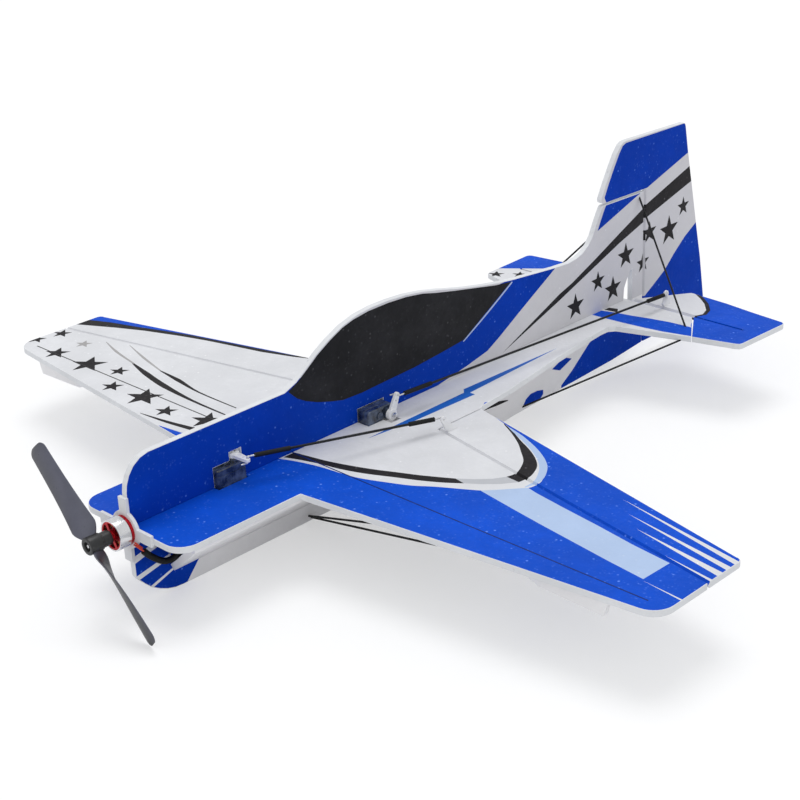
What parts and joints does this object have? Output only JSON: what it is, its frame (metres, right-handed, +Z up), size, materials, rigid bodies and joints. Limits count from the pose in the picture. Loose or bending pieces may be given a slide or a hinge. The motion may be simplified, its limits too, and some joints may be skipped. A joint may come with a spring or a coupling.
{
  "type": "rc foam airplane",
  "caption": "Profile aerobatic model aeroplane of crossed foam sheets with outrunner motor, two-blade propeller, working ailerons, elevator and rudder, servos and pushrods",
  "frame": {"origin": "on the flat rest face of the keel, in the plane of symmetry, directly under the wing spar", "axes": "+X forward to the propeller, +Y to the aeroplane's left wing tip, +Z up"},
  "size_m": [0.4357, 0.42, 0.1277],
  "materials": {
    "blue_foam": "moulded bead foam sheet, sprayed blue",
    "white_foam": "moulded bead foam sheet, bare white",
    "carbon": "pultruded carbon rod and strip, satin black",
    "tape": "thin woven hinge tape",
    "white_nylon": "moulded white nylon",
    "red_alloy": "turned and red anodised alloy",
    "steel": "bright steel",
    "lamination": "coated lamination stack",
    "copper": "enamelled copper wire",
    "magnet": "nickel plated magnets",
    "black_plastic": "black moulded plastic",
    "prop_nylon": "dark grey glass filled nylon",
    "wire_red": "red and orange silicone insulation",
    "shrink": "black heat shrink tube",
    "circuit": "circuit board under clear shrink film",
    "battery_wrap": "plain printed film wrap",
    "lead_wire": "thin silicone insulated lead",
    "servo_shell": "translucent blue grey polycarbonate",
    "rod_steel": "black carbon rod with plated wire ends"
  },
  "bodies": {
    "airframe": {"main_plate": "blue_foam", "upper_fuselage": "blue_foam", "lower_fuselage": "white_foam", "left_side_panel": "white_foam", "right_side_panel": "white_foam", "underwing_plates": "white_foam", "wing_spar": "carbon", "wing_braces": "carbon", "tail_braces": "carbon", "hinge_tapes": "tape", "motor_mount": "white_nylon", "mount_screws": "steel", "motor_base": "red_alloy", "stator_core": "lamination", "stator_windings": "copper", "motor_bearings": "steel", "motor_wires": "wire_red", "motor_wire_sleeve": "shrink", "speed_controller": "circuit", "receiver": "circuit", "battery": "battery_wrap", "battery_lead": "lead_wire", "battery_pad": "black_plastic", "servo_leads": "lead_wire", "aileron_servo": "servo_shell", "elevator_servo": "servo_shell", "rudder_servo": "servo_shell"},
    "rotor": {"bell_spider": "red_alloy", "flux_ring": "steel", "rotor_magnets": "magnet", "motor_shaft": "steel", "prop_adapter": "black_plastic", "propeller": "prop_nylon"},
    "left_aileron_panel": {"left_aileron": "blue_foam", "left_aileron_horn": "white_nylon"},
    "right_aileron_panel": {"right_aileron": "white_foam", "right_aileron_horn": "white_nylon"},
    "elevator": {"left_elevator": "blue_foam", "right_elevator": "white_foam", "elevator_spar": "carbon", "elevator_horn": "white_nylon"},
    "rudder_panel": {"rudder": "blue_foam", "rudder_horn": "white_nylon"},
    "aileron_arm": {"aileron_servo_shaft": "white_nylon", "aileron_servo_arm": "white_nylon", "aileron_arm_screw": "steel"},
    "elevator_arm": {"elevator_servo_shaft": "white_nylon", "elevator_servo_arm": "white_nylon", "elevator_arm_screw": "steel"},
    "rudder_arm": {"rudder_servo_shaft": "white_nylon", "rudder_servo_arm": "white_nylon", "rudder_arm_screw": "steel"},
    "left_aileron_link": {"left_aileron_pushrod": "rod_steel", "left_aileron_rod_sleeves": "shrink"},
    "right_aileron_link": {"right_aileron_pushrod": "rod_steel", "right_aileron_rod_sleeves": "shrink"},
    "elevator_link": {"elevator_pushrod": "rod_steel", "elevator_rod_sleeves": "shrink"},
    "rudder_link": {"rudder_pushrod": "rod_steel", "rudder_rod_sleeves": "shrink"}
  },
  "joints": [
    {"name": "propeller_spin", "type": "hinge", "parent": "airframe", "child": "rotor", "pos_m": [0.1097, 0, 0.0373], "axis": [1, 0, 0], "continuous": true},
    {"name": "aileron_servo_turn", "type": "hinge", "parent": "airframe", "child": "aileron_arm", "pos_m": [0.033, 0, 0.0489], "axis": [0, 0, 1], "range_deg": [-25, 25]},
    {"name": "left_aileron_hinge", "type": "hinge", "parent": "airframe", "child": "left_aileron_panel", "pos_m": [-0.06, 0.036, 0.0368], "axis": [0.1972, 0.9804, 0], "range_deg": [-29.5, 29.5]},
    {"name": "right_aileron_hinge", "type": "hinge", "parent": "airframe", "child": "right_aileron_panel", "pos_m": [-0.06, -0.036, 0.0368], "axis": [-0.1972, 0.9804, 0], "range_deg": [-29.5, 29.5]},
    {"name": "left_aileron_link_pivot", "type": "hinge", "parent": "aileron_arm", "child": "left_aileron_link", "pos_m": [0.033, 0.0095, 0.0489], "axis": [0, 0, 1], "range_deg": [-25, 25]},
    {"name": "right_aileron_link_pivot", "type": "hinge", "parent": "aileron_arm", "child": "right_aileron_link", "pos_m": [0.033, -0.0095, 0.0489], "axis": [0, 0, 1], "range_deg": [-25, 25]},
    {"name": "elevator_servo_turn", "type": "hinge", "parent": "airframe", "child": "elevator_arm", "pos_m": [-0.0544, 0.0102, 0.0407], "axis": [0, 1, 0], "range_deg": [-30, 30]},
    {"name": "elevator_hinge", "type": "hinge", "parent": "airframe", "child": "elevator", "pos_m": [-0.2486, 0, 0.0368], "axis": [0, 1, 0], "range_deg": [-30, 30]},
    {"name": "elevator_link_pivot", "type": "hinge", "parent": "elevator_arm", "child": "elevator_link", "pos_m": [-0.0584, 0.0109, 0.0493], "axis": [0, 1, 0], "range_deg": [-30, 30]},
    {"name": "rudder_servo_turn", "type": "hinge", "parent": "airframe", "child": "rudder_arm", "pos_m": [-0.066, -0.0075, 0.0489], "axis": [0, 0, 1], "range_deg": [-30, 30]},
    {"name": "rudder_hinge", "type": "hinge", "parent": "airframe", "child": "rudder_panel", "pos_m": [-0.262, 0, 0.0368], "axis": [0, 0, 1], "range_deg": [-30, 30]},
    {"name": "rudder_link_pivot", "type": "hinge", "parent": "rudder_arm", "child": "rudder_link", "pos_m": [-0.066, -0.017, 0.0489], "axis": [0, 0, 1], "range_deg": [-30, 30]}
  ],
  "couplings": [
    {"joint": "aileron_servo_turn", "follows": "left_aileron_hinge", "ratio": -0.8421},
    {"joint": "right_aileron_hinge", "follows": "left_aileron_hinge", "ratio": -1},
    {"joint": "left_aileron_link_pivot", "follows": "left_aileron_hinge", "ratio": 0.8421},
    {"joint": "right_aileron_link_pivot", "follows": "left_aileron_hinge", "ratio": 0.8421},
    {"joint": "elevator_servo_turn", "follows": "elevator_hinge", "ratio": 1},
    {"joint": "elevator_link_pivot", "follows": "elevator_hinge", "ratio": -1},
    {"joint": "rudder_servo_turn", "follows": "rudder_hinge", "ratio": 1},
    {"joint": "rudder_link_pivot", "follows": "rudder_hinge", "ratio": -1}
  ]
}
